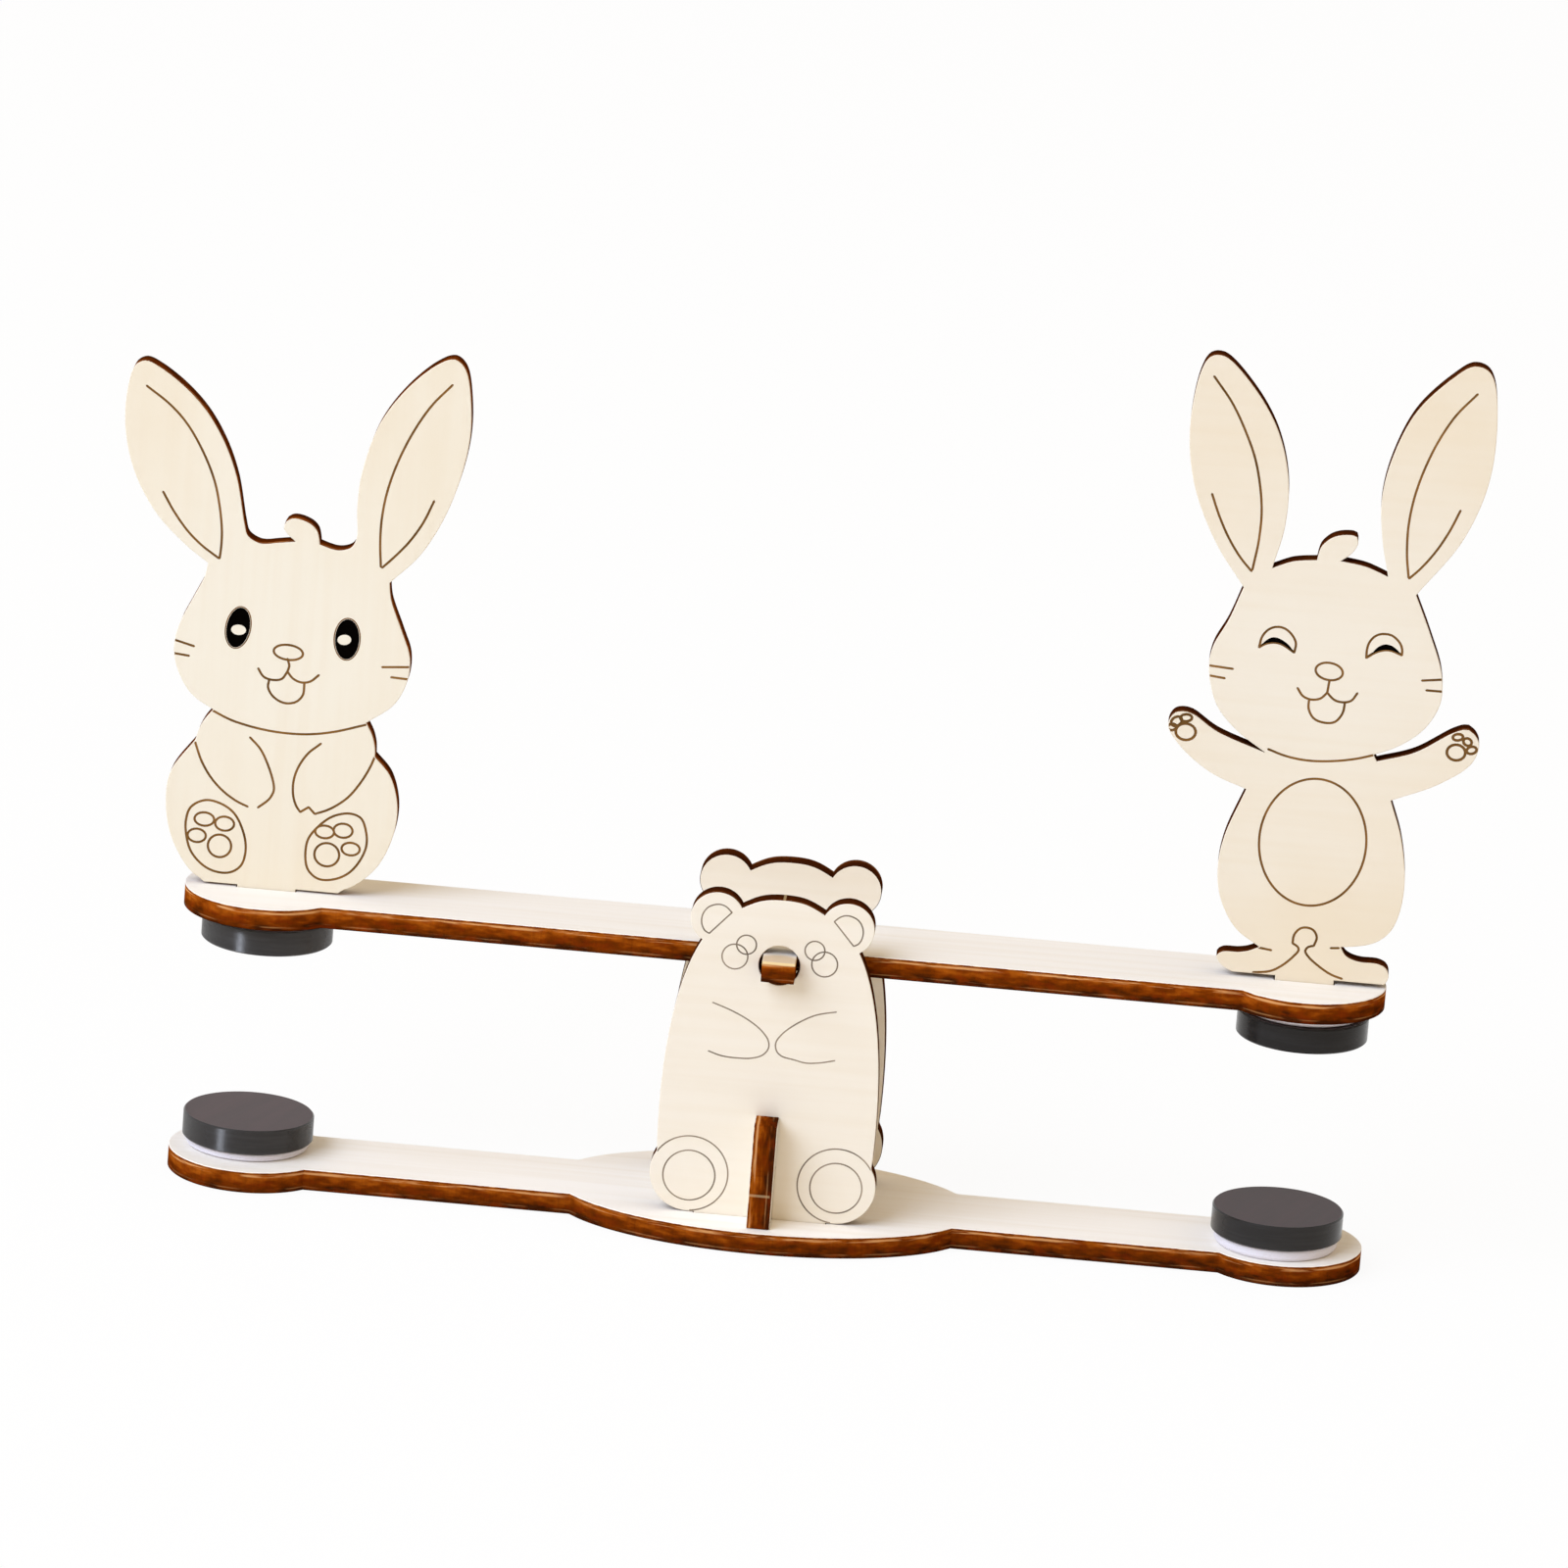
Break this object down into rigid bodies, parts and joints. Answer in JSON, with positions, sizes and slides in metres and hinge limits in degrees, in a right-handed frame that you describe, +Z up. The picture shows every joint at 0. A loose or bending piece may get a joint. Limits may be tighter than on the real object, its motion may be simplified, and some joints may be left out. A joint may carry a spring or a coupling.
{
  "type": "wooden seesaw teaching model",
  "caption": "Plywood seesaw toy: a beam with rabbit figures pivots between bear-shaped plates and is floated level by repelling disc magnets.",
  "frame": {"origin": "centre of the base plank's underside", "axes": "+X along the planks towards the standing rabbit, +Z up, the engraved front faces -Y"},
  "size_m": [0.1858, 0.0356, 0.1282],
  "materials": {
    "plywood": "raw sanded plywood, laser-charred edges",
    "ferrite": "ground sintered ferrite, dark grey",
    "foam": "white adhesive foam"
  },
  "bodies": {
    "stand": {"base_plank": "plywood", "bear_plate_front": "plywood", "bear_plate_rear": "plywood", "cross_brace": "plywood", "base_pad_left": "foam", "base_pad_right": "foam", "base_magnet_left": "ferrite", "base_magnet_right": "ferrite"},
    "beam": {"beam_plank": "plywood", "rabbit_sitting": "plywood", "rabbit_standing": "plywood", "beam_pad_left": "foam", "beam_pad_right": "foam", "beam_magnet_left": "ferrite", "beam_magnet_right": "ferrite"}
  },
  "joints": [
    {"name": "beam_pivot", "type": "hinge", "parent": "stand", "child": "beam", "pos_m": [0, 0, 0.039], "axis": [0, 1, 0], "range_deg": [-18, 17], "stiffness_Nm_per_rad": 0.05}
  ]
}
